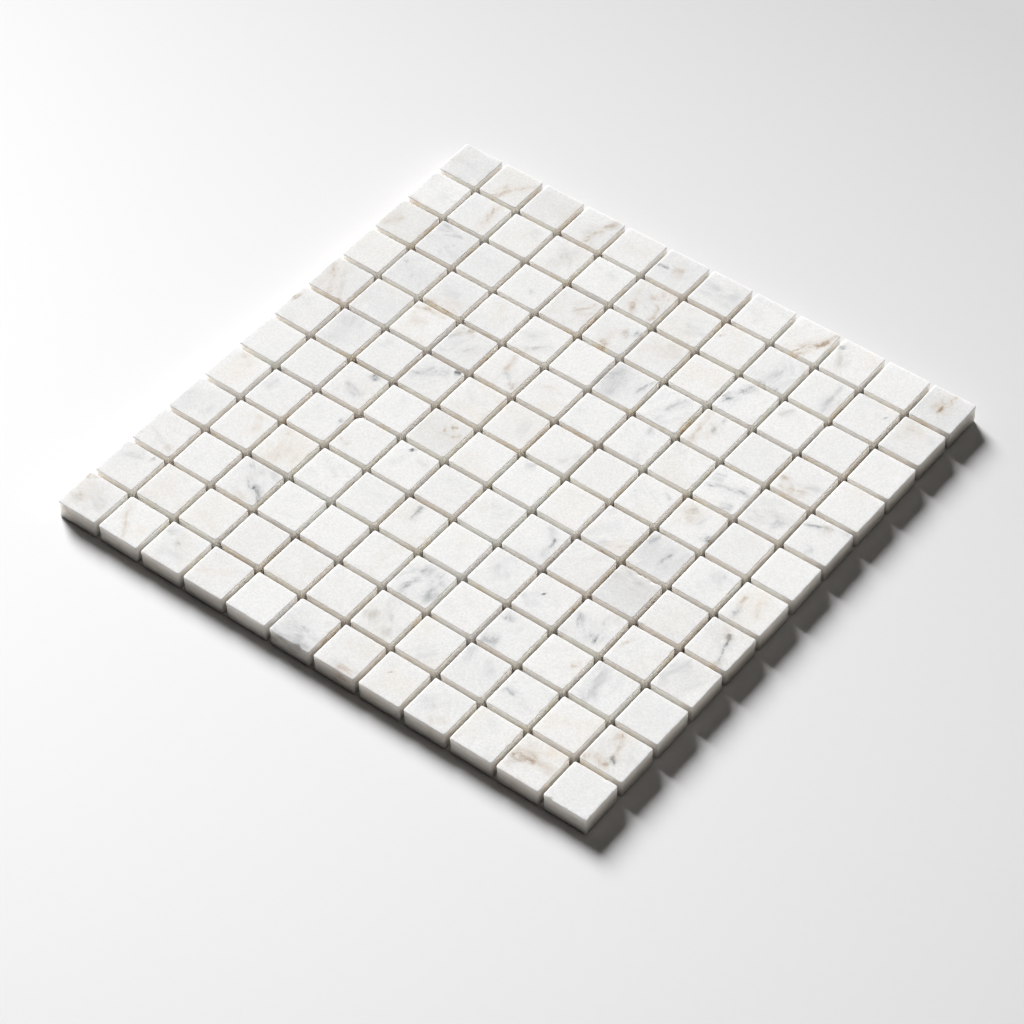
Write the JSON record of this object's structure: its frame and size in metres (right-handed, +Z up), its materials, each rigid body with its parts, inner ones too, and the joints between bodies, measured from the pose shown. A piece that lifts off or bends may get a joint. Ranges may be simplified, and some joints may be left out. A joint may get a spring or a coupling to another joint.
{
  "type": "mosaic tile sheet",
  "caption": "Net-backed sheet of square honed marble mosaic tiles with open grout joints, to be bonded to a wall or floor.",
  "frame": {"origin": "middle of the underside, where the net's lower yarns touch what the sheet lies on", "axes": "+Z up through the tile faces, +X along a row of tiles, +Y from row 1 to row 12"},
  "size_m": [0.3024, 0.3024, 0.0105],
  "materials": {
    "marble": "honed white marble with grey clouds and a few rust veins",
    "net": "resin-coated glass-fibre net"
  },
  "bodies": {
    "root": {"tile_row_01": "marble", "tile_row_02": "marble", "tile_row_03": "marble", "tile_row_04": "marble", "tile_row_05": "marble", "tile_row_06": "marble", "tile_row_07": "marble", "tile_row_08": "marble", "tile_row_09": "marble", "tile_row_10": "marble", "tile_row_11": "marble", "tile_row_12": "marble", "net_warp": "net", "net_weft": "net"}
  },
  "joints": []
}
